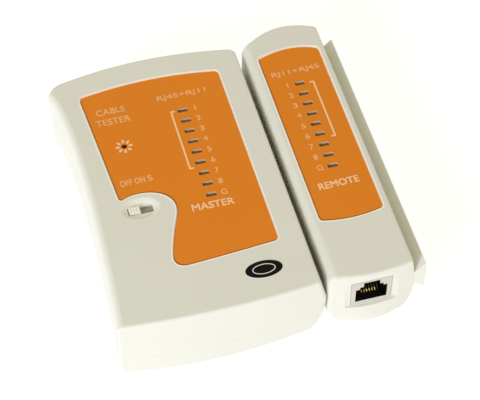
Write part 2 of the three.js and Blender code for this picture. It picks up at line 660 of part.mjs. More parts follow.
function masterUnit() {
  const unit = new THREE.Group();
  unit.name = 'master_unit';
  unit.add(part('master_front_shell', masterFrontShell(), CREAM));
  unit.add(part('master_back_shell', masterBackShell(), CREAM));
  const labelBody = labelPlate(masterLabelShape(0), MASTER_LEDS)
    .subtract(pillar(POWER_LED.x, POWER_LED.y, HEIGHT - 5, HEIGHT + 1, POWER_LED.radius + 0.05));
  unit.add(part('master_label', labelBody, ORANGE));
  unit.add(part('master_badge', plate(ellipse(BADGE.x, BADGE.y, BADGE.rx, BADGE.ry), HEIGHT,
    HEIGHT + BADGE.thick, 16), BLACK));
  unit.add(part('master_board', masterBoard(), BOARD_GREEN));
  unit.add(...ledColumn('master', MASTER_LEDS));
  unit.add(part('master_power_led', powerLed(), LENS));
  unit.add(socketPair('master_rj45', RJ45, MASTER_RJ45_X, MASTER_FAR_FACE, 1));
  unit.add(socketPair('master_rj11', RJ11, MASTER_RJ11_X, MASTER_FAR_FACE, 1));
  unit.add(part('master_switch_body', switchBody(), STEEL));
  unit.add(part('master_switch_knob', switchKnob(), CREAM));
  unit.add(part('master_battery_door', batteryDoor(), CREAM));
  unit.add(part('master_battery', battery(), BLACK));
  unit.add(part('master_battery_snap', snapConnector(), BLACK));
  unit.add(part('master_lead_red', lead(1), RED));
  unit.add(part('master_lead_black', lead(-1), BLACK));
  unit.add(part('master_chip_counter', chip(CHIPS.counter), BLACK));
  unit.add(part('master_chip_timer', chip(CHIPS.timer), BLACK));
  unit.add(part('master_capacitor', capacitor(), BLACK));
  unit.add(...screws('master', MASTER_POSTS));
  unit.position.set(MASTER_AT.x, MASTER_AT.y, 0);
  return unit;
}

// ---- remote unit --------------------------------------------------------------------

function railSection() {
  const neck = REMOTE.right - 1;
  const slope = (RAIL.tipHigh - RAIL.neckHigh) / RAIL.reach;
  const tip = REMOTE.right + RAIL.reach;
  return [
    [neck, RAIL.neckLow + slope], [tip, RAIL.tipLow],
    [tip, RAIL.tipHigh], [neck, RAIL.neckHigh - slope],
  ];
}

function remoteFrontShell() {
  let shell = half(loft(REMOTE, RINGS), true).subtract(caseCavity(REMOTE));
  shell = shell.add(bar(railSection(), RAIL.from, RAIL.to));
  shell = shell.add(screwPosts(REMOTE_POSTS, PARTING, HEIGHT - WALL + 0.5));
  shell = shell.subtract(screwHoles(REMOTE_POSTS, PARTING - 1, SCREW.top + 2, SCREW.shank + 0.15));
  shell = shell.subtract(plate(remoteLabelShape(0.35), HEIGHT - RECESS, HEIGHT + 1));
  shell = shell.subtract(windows(REMOTE_LEDS, 0.1, HEIGHT - 5, HEIGHT + 1));
  shell = shell.subtract(socketCut(REMOTE_SOCKET_X, REMOTE_NEAR_FACE, RJ45, -1));
  return shell.subtract(socketCut(REMOTE_SOCKET_X, REMOTE_FAR_FACE, RJ11, 1));
}

function remoteBackShell() {
  let shell = half(loft(REMOTE, RINGS), false).subtract(caseCavity(REMOTE));
  shell = shell.add(screwPosts(REMOTE_POSTS, 1, PARTING));
  return shell.subtract(seatAndHole(REMOTE_POSTS));
}

function remoteBoard() {
  const { left, right, near, far } = REMOTE_BOARD;
  const board = box(left, right, near, far, BOARD.bottom, boardTop());
  const holes = screwHoles(REMOTE_POSTS, BOARD.bottom - 1, boardTop() + 1, POST_RADIUS + GAP);
  return board.subtract(holes);
}

function remoteUnit() {
  const unit = new THREE.Group();
  unit.name = 'remote_unit';
  unit.add(part('remote_front_shell', remoteFrontShell(), CREAM));
  unit.add(part('remote_back_shell', remoteBackShell(), CREAM));
  unit.add(part('remote_label', labelPlate(remoteLabelShape(0), REMOTE_LEDS), ORANGE));
  unit.add(part('remote_board', remoteBoard(), BOARD_GREEN));
  unit.add(...ledColumn('remote', REMOTE_LEDS));
  unit.add(socketPair('remote_rj45', RJ45, REMOTE_SOCKET_X, REMOTE_NEAR_FACE, -1));
  unit.add(socketPair('remote_rj11', RJ11, REMOTE_SOCKET_X, REMOTE_FAR_FACE, 1));
  unit.add(...screws('remote', REMOTE_POSTS));
  unit.position.set(REMOTE_AT.x, REMOTE_AT.y, 0);
  return unit;
}

const tester = new THREE.Group();
tester.name = 'network_cable_tester';
tester.add(masterUnit());
tester.add(remoteUnit());

export default tester;
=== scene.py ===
"""Looks of a two-piece cable tester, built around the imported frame.

Each unit is drawn in millimetres from its own corner datum and then set into the frame,
where the datum follows from the first light of that unit.
"""

import math

import bmesh
import bpy
from mathutils import Matrix, Vector


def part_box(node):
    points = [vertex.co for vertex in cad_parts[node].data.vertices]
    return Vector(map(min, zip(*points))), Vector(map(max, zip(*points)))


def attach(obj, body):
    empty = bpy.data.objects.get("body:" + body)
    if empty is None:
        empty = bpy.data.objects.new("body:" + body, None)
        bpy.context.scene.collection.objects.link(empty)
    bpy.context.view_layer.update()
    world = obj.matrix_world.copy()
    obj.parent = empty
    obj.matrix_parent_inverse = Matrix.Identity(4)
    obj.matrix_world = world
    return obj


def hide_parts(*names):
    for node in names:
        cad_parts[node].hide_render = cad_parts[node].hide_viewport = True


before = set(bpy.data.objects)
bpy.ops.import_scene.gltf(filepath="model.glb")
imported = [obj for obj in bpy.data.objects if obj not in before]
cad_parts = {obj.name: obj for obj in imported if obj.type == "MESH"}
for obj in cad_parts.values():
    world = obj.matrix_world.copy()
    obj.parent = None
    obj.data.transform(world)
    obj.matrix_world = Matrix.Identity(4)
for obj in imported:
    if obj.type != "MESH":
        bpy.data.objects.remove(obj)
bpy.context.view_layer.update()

# ---- driving dimensions, millimetres ------------------------------------------------------
MM = 0.001
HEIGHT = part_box("master_front_shell")[1].z / MM
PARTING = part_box("master_back_shell")[1].z / MM
WALL = 2.0
FILM_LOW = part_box("master_label")[0].z / MM
FILM_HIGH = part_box("master_label")[1].z / MM
LIP = 0.35
SEAM = 0.08
# cutters through the top of a case run between these heights
CUT_LOW, CUT_HIGH = HEIGHT - 5, HEIGHT + 1

# the right sides are widest at this height and draw in above and below it
SIDE_WIDEST = 18
MASTER = dict(
    left_near=-73.7, left_far=-74.9, waist_near=-70.8, waist_far=-68.6, right=2.5, near=0.1,
    far_left=115.8, far_right=116.4, near_bow=1.7, far_bow=3.8, lean_ends=0.7, lean_bow=1.3,
    tuck_far_left=1.0, corner_near_left=1.2, corner_near_right=1.8, corner_far_right=2.6,
    corner_far_left=4.6, top_left=2.9, top_right=0.7, top_ends=0.8, bottom_left=1.8,
    bottom_right=3.0, bottom_ends=1.6, side_top=2.5, side_bottom=5.5,
)
REMOTE = dict(
    left_near=0.65, left_far=0.65, waist_near=0.65, waist_far=0.65, right=33.6, near=0.3,
    far_left=117.9, far_right=119.5, near_bow=1.4, far_bow=3.9, lean_ends=0.6, lean_bow=0.6,
    tuck_far_left=0.0, corner_near_left=2.4, corner_near_right=1.2, corner_far_right=1.2,
    corner_far_left=3.6, top_left=3.8, top_right=0.7, top_ends=0.8, bottom_left=10.0,
    bottom_right=5.0, bottom_ends=2.0, side_top=1.5, side_bottom=3.9,
)

LIGHT_COUNT = 9
LIGHT_PITCH = 5.27
LIGHT_SIZE = (3.9, 1.8)
MASTER_LIGHTS = (-27.05, 91.1)
REMOTE_LIGHTS = (17.5, 92.4)
POWER_LIGHT = (-52.5, 79.5)
POWER_RADIUS = 1.0
# room round a light in the case, which the label film covers
LIGHT_PLAY = 0.1
LIGHT_SINK = 1.2
WINDOW_CORNER = 0.4

RAIL = dict(reach=3.5, neck_low=14.8, neck_high=21.4, tip_low=11.2, tip_high=25.0, start=0.2, end=114.0)
GROOVE_START = 6.5
GROOVE_DEEPER = 0.7
GROOVE_PLAY = 0.2
# the walls round the groove reach this far past the rail
HOUSING_WALL = 2.6
# a length beyond the far end of either unit, for cutters that run out of it
PAST_FAR_END = 140
SWITCH = (-53.6, 49.3)
DISH = (7.6, 5.1)
DISH_DEPTH = 1.3
DISH_FLOOR = 1.0
BADGE = (-17.9, 11.2)
MASTER_POSTS = [(-67.0, 4.6), (-9.2, 4.6), (-66.6, 106.0), (-9.4, 108.0)]
REMOTE_POSTS = [(12.0, 27.0), (12.0, 98.0)]
POST_RADIUS = 2.8
SCREW_SEAT = 2.4
SEAT_RADIUS = 2.7

BOARD_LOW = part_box("master_board")[0].z / MM
BOARD_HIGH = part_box("master_board")[1].z / MM
SOCKET_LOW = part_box("remote_rj45_jack")[0].z / MM
SOCKET_FRAME = 2.0
SOCKET_PROUD = 0.15
FRAME_BELOW = 0.5
FRAME_ABOVE = 1.1

# the print starts just inside the labels and stands a little proud of them
PRINT_LOW, PRINT_HIGH = FILM_HIGH - 0.02, FILM_HIGH + 0.05


def datum(first_light, light_at):
    low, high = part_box(first_light)
    centre = (low + high) / 2 / MM
    return centre.x - light_at[0], centre.y - light_at[1]


MASTER_AT = datum("master_led_1", MASTER_LIGHTS)
REMOTE_AT = datum("remote_led_1", REMOTE_LIGHTS)


# ---- curves -------------------------------------------------------------------------------
def bezier(points, count):
    """The curve's first `count` of `count + 1` even steps, so that legs join without a double point."""
    degree = len(points) - 1
    traced = []
    for step in range(count):
        t = step / count
        weights = [math.comb(degree, k) * (1 - t) ** (degree - k) * t**k for k in range(degree + 1)]
        traced.append(tuple(sum(w * p[axis] for w, p in zip(weights, points)) for axis in (0, 1)))
    return traced


def trace(start, legs, count=12):
    """Closed outline from `start` through legs, each a list of control points and its end."""
    outline = []
    here = start
    for leg in legs:
        outline += bezier([here, *leg], 1 if len(leg) == 1 else count)
        here = leg[-1]
    return outline


def ellipse(x, y, rx, ry, count=48):
    turn = 2 * math.pi / count
    return [(x + rx * math.cos(i * turn), y + ry * math.sin(i * turn)) for i in range(count)]


def rectangle(x0, x1, y0, y1):
    return [(x0, y0), (x1, y0), (x1, y1), (x0, y1)]


def rounded_rectangle(x0, x1, y0, y1, radius, count=5):
    corners = [(x1 - radius, y0 + radius, -90), (x1 - radius, y1 - radius, 0),
               (x0 + radius, y1 - radius, 90), (x0 + radius, y0 + radius, 180)]
    outline = []
    for cx, cy, first in corners:
        for step in range(count + 1):
            angle = math.radians(first + 90 * step / count)
            outline.append((cx + radius * math.cos(angle), cy + radius * math.sin(angle)))
    return outline


# ---- meshes -------------------------------------------------------------------------------
def add_object(name, bm):
    bmesh.ops.recalc_face_normals(bm, faces=bm.faces)
    mesh = bpy.data.meshes.new(name)
    bm.to_mesh(mesh)
    bm.free()
    obj = bpy.data.objects.new(name, mesh)
    bpy.context.scene.collection.objects.link(obj)
    return obj


def skin(name, rings, hoop=False):
    """Closed body through rings of equally many points, capped at both ends or joined end to end."""
    bm = bmesh.new()
    loops = [[bm.verts.new(point) for point in ring] for ring in rings]
    count = len(loops[0])
    following = loops[1:] + loops[:1] if hoop else loops[1:]
    for lower, upper in zip(loops, following):
        for i in range(count):
            j = (i + 1) % count
            bm.faces.new((lower[i], lower[j], upper[j], upper[i]))
    if not hoop:
        bm.faces.new(tuple(reversed(loops[0])))
        bm.faces.new(tuple(loops[-1]))
    return add_object(name, bm)


def raised(outline, z):
    return [(x, y, z) for x, y in outline]


def prism(name, outline, z0, z1):
    return skin(name, [raised(outline, z0), raised(outline, z1)])


def block(name, x0, x1, y0, y1, z0, z1):
    return prism(name, rectangle(x0, x1, y0, y1), z0, z1)


def bar(name, section, y0, y1):
    """Section drawn in X and Z, carried along Y."""
    return skin(name, [[(x, y, z) for x, z in section] for y in (y0, y1)])


def turned(name, x, y, profile, count=32, squeeze=(1, 1)):
    """Round body about an upright axis, from (radius, height) pairs."""
    return skin(name, [raised(ellipse(x, y, r * squeeze[0], r * squeeze[1], count), z) for r, z in profile])


def remove(obj):
    mesh = obj.data
    bpy.data.objects.remove(obj)
    bpy.data.meshes.remove(mesh)


def merge(name, objects):
    """One object from several; their materials have to be the same list."""
    bm = bmesh.new()
    for obj in objects:
        bm.from_mesh(obj.data)
    mesh = bpy.data.meshes.new(name)
    for material in objects[0].data.materials:
        mesh.materials.append(material)
    bm.to_mesh(mesh)
    bm.free()
    for obj in objects:
        remove(obj)
    merged = bpy.data.objects.new(name, mesh)
    bpy.context.scene.collection.objects.link(merged)
    return merged


def apply_modifiers(obj):
    bpy.context.view_layer.update()
    graph = bpy.context.evaluated_depsgraph_get()
    shaped = bpy.data.meshes.new_from_object(obj.evaluated_get(graph), depsgraph=graph)
    old = obj.data
    obj.modifiers.clear()
    obj.data = shaped
    bpy.data.meshes.remove(old)


def combine(target, others, operation="DIFFERENCE"):
    """Boolean of target with each of the others, which are used up."""
    for other in others:
        boolean = target.modifiers.new("boolean", "BOOLEAN")
        boolean.operation = operation
        boolean.solver = "EXACT"
        boolean.object = other
        boolean.material_mode = "TRANSFER"
    apply_modifiers(target)
    for other in others:
        remove(other)
    return target


def bevel(obj, width, segments=2, angle=35):
    modifier = obj.modifiers.new("bevel", "BEVEL")
    modifier.width = width
    modifier.segments = segments
    modifier.limit_method = "ANGLE"
    modifier.angle_limit = math.radians(angle)
    return obj


def smooth(obj, angle=32):
    obj.data.shade_smooth()
    obj.data.set_sharp_from_angle(angle=math.radians(angle))
    normals = obj.modifiers.new("normals", "WEIGHTED_NORMAL")
    normals.keep_sharp = True
    return obj


def paint(obj, *materials):
    obj.data.materials.clear()
    for material in materials:
        obj.data.materials.append(material)
    return obj


def settle(obj, at, body, nodes=()):
    """Sets a body drawn in millimetres from a unit's datum into the frame, on its CAD body."""
    obj.data.transform(Matrix.Translation((at[0] * MM, at[1] * MM, 0)) @ Matrix.Scale(MM, 4))
    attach(obj, body)
    if nodes:
        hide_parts(*nodes)
    return obj


# ---- materials ----------------------------------------------------------------------------
def linear(red, green, blue):
    """sRGB bytes as linear light, with alpha."""
    def channel(value):
        share = value / 255
        return share / 12.92 if share <= 0.04045 else ((share + 0.055) / 1.055) ** 2.4

    return (channel(red), channel(green), channel(blue), 1.0)


def shade(colour, factor):
    return tuple(min(c * factor, 1.0) for c in colour[:3]) + (1.0,)


def surface(name, rgb, roughness, metallic=0.0, mottle=0.03, patch=60.0, grain=900.0, bump=0.06,
            coat=0.0, dots=0.0, shine=0.5):
    """Finish with slow colour variation, fine grain in its relief and gloss, and optional specks."""
    material = bpy.data.materials.new(name)
    material.use_nodes = True
    tree = material.node_tree
    nodes, links = tree.nodes, tree.links
    shader = nodes["Principled BSDF"]
    base = linear(*rgb)
    place = nodes.new("ShaderNodeTexCoord")

    slow = nodes.new("ShaderNodeTexNoise")
    slow.inputs["Scale"].default_value = patch
    slow.inputs["Detail"].default_value = 5.0
    slow.inputs["Roughness"].default_value = 0.6
    links.new(place.outputs["Object"], slow.inputs["Vector"])
    ramp = nodes.new("ShaderNodeValToRGB")
    ramp.color_ramp.elements[0].position = 0.3
    ramp.color_ramp.elements[0].color = shade(base, 1 - mottle)
    ramp.color_ramp.elements[1].position = 0.7
    ramp.color_ramp.elements[1].color = shade(base, 1 + mottle)
    links.new(slow.outputs["Fac"], ramp.inputs["Fac"])
    colour = ramp.outputs["Color"]

    fine = nodes.new("ShaderNodeTexNoise")
    fine.inputs["Scale"].default_value = grain
    fine.inputs["Detail"].default_value = 3.0
    links.new(place.outputs["Object"], fine.inputs["Vector"])

    if dots:
        speck = nodes.new("ShaderNodeTexVoronoi")
        speck.inputs["Scale"].default_value = 130.0
        links.new(place.outputs["Object"], speck.inputs["Vector"])
        near = nodes.new("ShaderNodeMapRange")
        near.inputs["From Min"].default_value = 0.03
        near.inputs["From Max"].default_value = 0.06
        near.inputs["To Min"].default_value = dots
        near.inputs["To Max"].default_value = 0.0
        links.new(speck.outputs["Distance"], near.inputs["Value"])
        blend = nodes.new("ShaderNodeMix")
        blend.data_type = "RGBA"
        links.new(near.outputs["Result"], blend.inputs["Factor"])
        links.new(colour, blend.inputs["A"])
        blend.inputs["B"].default_value = shade(base, 0.55)
        colour = blend.outputs["Result"]
    links.new(colour, shader.inputs["Base Color"])

    gloss = nodes.new("ShaderNodeMapRange")
    gloss.inputs["To Min"].default_value = max(roughness - 0.06, 0.02)
    gloss.inputs["To Max"].default_value = min(roughness + 0.06, 1.0)
    links.new(fine.outputs["Fac"], gloss.inputs["Value"])
    links.new(gloss.outputs["Result"], shader.inputs["Roughness"])

    relief = nodes.new("ShaderNodeBump")
    relief.inputs["Strength"].default_value = bump
    relief.inputs["Distance"].default_value = 0.0002
    links.new(fine.outputs["Fac"], relief.inputs["Height"])
    links.new(relief.outputs["Normal"], shader.inputs["Normal"])

    shader.inputs["Metallic"].default_value = metallic
    shader.inputs["Specular IOR Level"].default_value = shine
    if coat:
        shader.inputs["Coat Weight"].default_value = coat
        shader.inputs["Coat Roughness"].default_value = 0.15
    return material


CASE = surface("case_plastic", (230, 229, 217), 0.5, mottle=0.012, patch=35, bump=0.05, dots=0.12)
# the recess walls and the bead round each label are painted lighter than the case, as painted highlight
# along the label edges
CASE_LIP_HIGHLIGHT = surface("case_lip_painted_highlight", (255, 250, 238), 0.35, mottle=0.01, patch=80)
# the dish round the switch is painted lighter than the case, as painted light that evens out its shade
CASE_DISH_PAINTED_LIGHT = surface("case_dish_painted_light", (238, 236, 223), 0.45, mottle=0.01, patch=80)
# the walls of the light windows are painted a darker tan than the case, as painted shade
WINDOW_WALL_PAINTED_SHADE = surface("window_wall_painted_shade", (226, 208, 174), 0.5, mottle=0.05, patch=200)
# the flange seen through the switch slot is painted darker than the knob, as painted shade
SLOT_PAINTED_SHADE = surface("slot_painted_shade", (168, 160, 138), 0.6, mottle=0.03, patch=120, shine=0.2)
FILM = surface("label_film", (234, 136, 38), 0.6, mottle=0.02, patch=28, grain=1400, bump=0.03, shine=0.1)
# dark orange for the painted shadow along the left and near edges of each label
FILM_PAINTED_SHADOW = surface("label_painted_shadow", (168, 92, 18), 0.5, mottle=0.04, patch=300, shine=0.3)
INK = surface("label_ink", (253, 208, 158), 0.5, mottle=0.03, patch=900, shine=0.3)
INK_FAINT = surface("label_ink_faint", (246, 182, 116), 0.5, mottle=0.03, patch=900, shine=0.3)
LENS = surface("light_lens", (130, 98, 70), 0.35, mottle=0.1, patch=400, shine=0.2)
POWER = surface("power_lens", (40, 18, 8), 0.3, mottle=0.1, patch=400, shine=0.2)
SOCKET = surface("socket_plastic", (206, 202, 190), 0.45, mottle=0.02, patch=120)
# near black for the inside of the plug openings: the dark insert, and painted shade in the deep opening
SOCKET_INSERT_AND_SHADE = surface("socket_insert_and_painted_shade", (20, 18, 16), 0.5, mottle=0.15, patch=200, shine=0.2)
GOLD = surface("contact_gold", (226, 190, 110), 0.3, metallic=1.0, mottle=0.08, patch=500)
# dark copy of the contact gold, painted shade on the wires
GOLD_PAINTED_SHADE = surface("contact_gold_painted_shade", (74, 60, 36), 0.5, metallic=1.0, mottle=0.1, patch=500)
KNOB = surface("knob_plastic", (246, 243, 230), 0.38, mottle=0.012, patch=120)
STEEL = surface("screw_steel", (186, 188, 190), 0.35, metallic=1.0, mottle=0.06, patch=350, bump=0.1)
STICKER = surface("sticker_black", (10, 9, 9), 0.4, mottle=0.3, patch=150, shine=0.12)
STICKER_RIM = surface("sticker_rim", (232, 230, 220), 0.4, mottle=0.02, patch=150)
BOARD = surface("circuit_board", (38, 96, 52), 0.45, mottle=0.12, patch=260, dots=0.5, coat=0.3)
CHIP = surface("chip_epoxy", (30, 30, 32), 0.55, mottle=0.12, patch=300)
SLEEVE = surface("capacitor_sleeve", (28, 38, 66), 0.35, mottle=0.1, patch=200)
JACKET = surface("battery_jacket", (34, 36, 42), 0.35, mottle=0.12, patch=50)
VINYL = surface("snap_vinyl", (26, 26, 28), 0.6, mottle=0.12, patch=150)
WIRE_RED = surface("lead_red_vinyl", (180, 34, 28), 0.4, mottle=0.08, patch=200)
WIRE_BLACK = surface("lead_black_vinyl", (24, 24, 26), 0.4, mottle=0.12, patch=200)


# ---- case ---------------------------------------------------------------------------------
def set_back(distance, radius):
    """How far a rounded edge of this radius is set back at a given distance from its face."""
    if distance >= radius:
        return 0.0
    return radius - math.sqrt(max(radius**2 - (radius - distance) ** 2, 0.0))


def case_outline(unit, z, inset=0.0, count=12):
    above = HEIGHT - z
    lean = 1 - z / HEIGHT
    if z > SIDE_WIDEST:
        side_in = unit["side_top"] * (z - SIDE_WIDEST) / (HEIGHT - SIDE_WIDEST)
    else:
        side_in = unit["side_bottom"] * (1 - z / SIDE_WIDEST) ** 2
    left_in = inset + set_back(above, unit["top_left"]) + set_back(z, unit["bottom_left"])
    right_in = inset + side_in + set_back(above, unit["top_right"]) + set_back(z, unit["bottom_right"])
    end_in = inset + set_back(above, unit["top_ends"]) + set_back(z, unit["bottom_ends"])
    left_near = unit["left_near"] + left_in
    left_far = unit["left_far"] + left_in + unit["tuck_far_left"] * lean
    waist_near = unit["waist_near"] + left_in
    waist_far = unit["waist_far"] + left_in
    right = unit["right"] - right_in
    near = unit["near"] + end_in - unit["lean_ends"] * lean
    far_left = unit["far_left"] - end_in
    far_right = unit["far_right"] - end_in
    near_control = near - 2 * (unit["near_bow"] + unit["lean_bow"] * lean)
    far_control = (far_left + far_right) / 2 + 2 * unit["far_bow"]
    nl, nr = unit["corner_near_left"], unit["corner_near_right"]
    fr, fl = unit["corner_far_right"], unit["corner_far_left"]
    return trace((left_near + nl, near), [
        [((left_near + right) / 2, near_control), (right - nr, near)],
        [(right, near), (right, near + nr)],
        [(right, far_right - fr)],
        [(right, far_right), (right - fr, far_right + 0.6)],
        [((left_far + right) / 2, far_control), (left_far + fl, far_left + 0.8)],
        [(left_far, far_left - 0.6), (left_far, far_left - fl)],
        [(waist_far, far_left * 0.84), (waist_near, far_left * 0.3), (left_near, near + nl)],
        [(left_near, near), (left_near + nl, near)],
    ], count)


def fillet_heights(radius, steps=7):
    """Heights above a face where a rounded edge turns by equal angles."""
    return [radius * (1 - math.cos(math.pi / 2 * step / steps)) for step in range(1, steps + 1)]


def ring_heights(unit, upper):
    """Heights a case half is lofted through, close together round its rounded edges."""
    if upper:
        drops = [0.0] + fillet_heights(unit["top_ends"], 5) + fillet_heights(unit["top_left"])
        found = [HEIGHT - drop for drop in drops] + [PARTING, PARTING + SEAM, 11, 13, 15, 17, 18, 19, 21, 23]
    else:
        rises = [0.0] + fillet_heights(unit["bottom_ends"], 5) + fillet_heights(unit["bottom_right"])
        found = [z for z in rises + [6, 7.5, PARTING, PARTING - SEAM] if z <= PARTING]
    kept = []
    for z in sorted(found):
        if not kept or z - kept[-1] > 0.03:
            kept.append(z)
    return kept


HOLLOW_HEIGHTS = [WALL, 4.6, PARTING, SIDE_WIDEST, 24.4, HEIGHT - WALL]


def loft(name, unit, heights, inset=0.0, seam_at=None):
    rings = []
    for z in heights:
        seam = SEAM if z == seam_at else 0.0
        rings.append(raised(case_outline(unit, z, inset + seam), z))
    return skin(name, rings)


def windows(lights, margin):
    """Cutters for a column of light windows, as one body; the window walls they leave are painted a darker
    tan than the case, as painted shade.
    """
    holes = []
    for i in range(LIGHT_COUNT):
        x, y = lights[0], lights[1] - i * LIGHT_PITCH
        half_x, half_y = LIGHT_SIZE[0] / 2 + margin, LIGHT_SIZE[1] / 2 + margin
        corners = rounded_rectangle(x - half_x, x + half_x, y - half_y, y + half_y,
                                    WINDOW_CORNER + margin, 3)
        holes.append(prism("hole", corners, CUT_LOW, CUT_HIGH))
    return paint(merge("windows", holes), WINDOW_WALL_PAINTED_SHADE)


def power_hole(radius):
    return turned("hole", *POWER_LIGHT, [(radius, CUT_LOW), (radius, CUT_HIGH)])


def label_cut(shape):
    """Cutter for a label's recess, whose walls and floor take a lighter colour as painted highlight round
    the label.
    """
    return paint(prism("recess", shape(LIP), FILM_LOW, CUT_HIGH), CASE_LIP_HIGHLIGHT)


def label_rim(name, shape, at, body):
    """Low rounded bead moulded round a label's recess, painted lighter than the case as painted highlight.
    """
    levels = [(HEIGHT - 0.1, 0.0), (HEIGHT + 0.04, 0.03), (HEIGHT + 0.08, 0.18), (HEIGHT + 0.08, 0.27),
              (HEIGHT + 0.04, 0.42), (HEIGHT - 0.1, 0.45)]
    bead = skin(name, [raised(shape(LIP + grow), z) for z, grow in levels], hoop=True)
    paint(bead, CASE_LIP_HIGHLIGHT)
    smooth(bead, 60)
    return settle(bead, at, body)


def socket_cuts(centre, face, width, way):
    """Cutters for the flat pocket and the hole that a socket sits in."""
    half = width / 2 + SOCKET_FRAME
    floor = face - way * SOCKET_PROUD
    outer = face + way * 8
    inner = face - way * (WALL + 6)
    play = 0.12
    sections = []
    for y, grow in ((floor, 0.0), (floor + way * 0.5, 0.1), (floor + way * 1.5, 0.9), (outer, 0.9)):
        low = SOCKET_LOW - FRAME_BELOW - grow / 3
        section = rounded_rectangle(centre - half - grow, centre + half + grow, low,
                                    BOARD_LOW + FRAME_ABOVE + grow, 0.5 + grow / 2)
        sections.append([(x, y, z) for x, z in section])
    hole = rectangle(centre - width / 2 - play, centre + width / 2 + play,
                     SOCKET_LOW - play, BOARD_LOW + play)
    return [skin("pocket", sections), bar("hole", hole, min(inner, outer), max(inner, outer))]


def posts(at, z0, z1):
    return [turned("post", x, y, [(POST_RADIUS, z0), (POST_RADIUS, z1)], 20) for x, y in at]


def groove_section():
    slope = (RAIL["tip_high"] - RAIL["neck_high"]) / RAIL["reach"]
    past_mouth = 3
    mouth = MASTER["right"] + past_mouth
    inner = MASTER["right"] - RAIL["reach"] - GROOVE_DEEPER
    return [(mouth, RAIL["neck_low"] + past_mouth * slope - GROOVE_PLAY),
            (mouth, RAIL["neck_high"] - past_mouth * slope + GROOVE_PLAY),
            (inner, RAIL["tip_high"] + GROOVE_PLAY),
            (inner, RAIL["tip_low"] - GROOVE_PLAY)]


def dish_cut():
    """Smooth oval bowl round the switch, painted lighter than the case as painted light that evens out its
    shade.
    """
    steps = 10
    profile = [(0.35, HEIGHT - DISH_DEPTH)]
    for step in range(1, steps + 1):
        share = step / steps
        rise = DISH_DEPTH * (0.5 - 0.5 * math.cos(math.pi * share))
        profile.append((0.5 + 0.5 * share, HEIGHT - DISH_DEPTH + rise))
    profile.append((1.02, CUT_HIGH))
    return paint(turned("dish", *SWITCH, profile, 64, DISH), CASE_DISH_PAINTED_LIGHT)


def local_box(node, at):
    """Corners of a CAD node in millimetres from a unit's datum."""
    low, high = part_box(node)
    origin = Vector((at[0], at[1], 0))
    return low / MM - origin, high / MM - origin


# the thumb piece has a flange under the case all round its stem
FLANGE = Vector((4.9, 0.9, 0))
FLANGE_THICK = 0.4
KNOB_LOW, KNOB_HIGH = local_box("master_switch_knob", MASTER_AT)
KNOB_LOW, KNOB_HIGH = KNOB_LOW + FLANGE, KNOB_HIGH - FLANGE
KNOB_TRAVEL = 4.4
KNOB_GAP = 0.3


def switch_slot():
    slot = rounded_rectangle(KNOB_LOW.x - KNOB_GAP, KNOB_HIGH.x + KNOB_TRAVEL + KNOB_GAP,
                             KNOB_LOW.y - KNOB_GAP, KNOB_HIGH.y + KNOB_GAP, 0.4)
    return prism("slot", slot, CUT_LOW - 1, CUT_HIGH)


def master_front():
    shell = loft("master_case_front", MASTER, ring_heights(MASTER, True), seam_at=PARTING)
    hollow = loft("hollow", MASTER, HOLLOW_HEIGHTS, WALL)
    housing = block("housing", MASTER["right"] - RAIL["reach"] - HOUSING_WALL, MASTER["right"] + 9,
                    -20, PAST_FAR_END, PARTING + 0.4, HEIGHT)
    well = turned("well", *SWITCH, [(1.15, HEIGHT - DISH_DEPTH - DISH_FLOOR), (1.15, HEIGHT)], 48, DISH)
    combine(hollow, [housing, well])
    paint(shell, CASE)
    cutters = [
        hollow,
        label_cut(master_label_outline),
        windows(MASTER_LIGHTS, LIGHT_PLAY),
        power_hole(POWER_RADIUS + LIGHT_PLAY),
        dish_cut(),
        switch_slot(),
        bar("groove", groove_section(), GROOVE_START, PAST_FAR_END),
        *socket_cuts(*socket_place("master_rj45_jack", MASTER_AT), 1),
        *socket_cuts(*socket_place("master_rj11_jack", MASTER_AT), 1),
    ]
    combine(shell, cutters)
    shell = merge("master_case_front", [shell, *[paint(post, CASE) for post in
                                                 posts(MASTER_POSTS, PARTING + 0.1, HEIGHT - WALL + 0.5)]])
    smooth(shell)
    return settle(shell, MASTER_AT, "master", ["master_front_shell"])


def screw_seats(at):
    seats = [turned("seat", x, y, [(SEAT_RADIUS, -1), (SEAT_RADIUS, SCREW_SEAT)], 32) for x, y in at]
    return merge("seats", seats)


DOOR_LOW, DOOR_HIGH = local_box("master_battery_door", MASTER_AT)
DOOR_TONGUE = 1.6
DOOR_THICK = 2.0
DOOR_GAP = 0.3


def master_back():
    shell = loft("master_case_back", MASTER, ring_heights(MASTER, False), seam_at=PARTING)
    hollow = loft("hollow", MASTER, [WALL, 4.6, PARTING, 20], WALL)
    opening = rounded_rectangle(DOOR_LOW.x - DOOR_GAP, DOOR_HIGH.x - DOOR_TONGUE + DOOR_GAP,
                                DOOR_LOW.y - DOOR_GAP, DOOR_HIGH.y + DOOR_GAP, 1.4)
    combine(shell, [hollow, prism("opening", opening, -1, WALL + 1), screw_seats(MASTER_POSTS)])
    sleeves = posts(MASTER_POSTS, SCREW_SEAT, PARTING - 0.1)
    wall = block("bay_wall", -66.8, -12.2, DOOR_HIGH.y + 0.8, DOOR_HIGH.y + 2, WALL - 0.5, PARTING - 0.2)
    shell = merge("master_case_back", [shell, *sleeves, wall])
    paint(shell, CASE)
    smooth(shell)
    return settle(shell, MASTER_AT, "master", ["master_back_shell"])


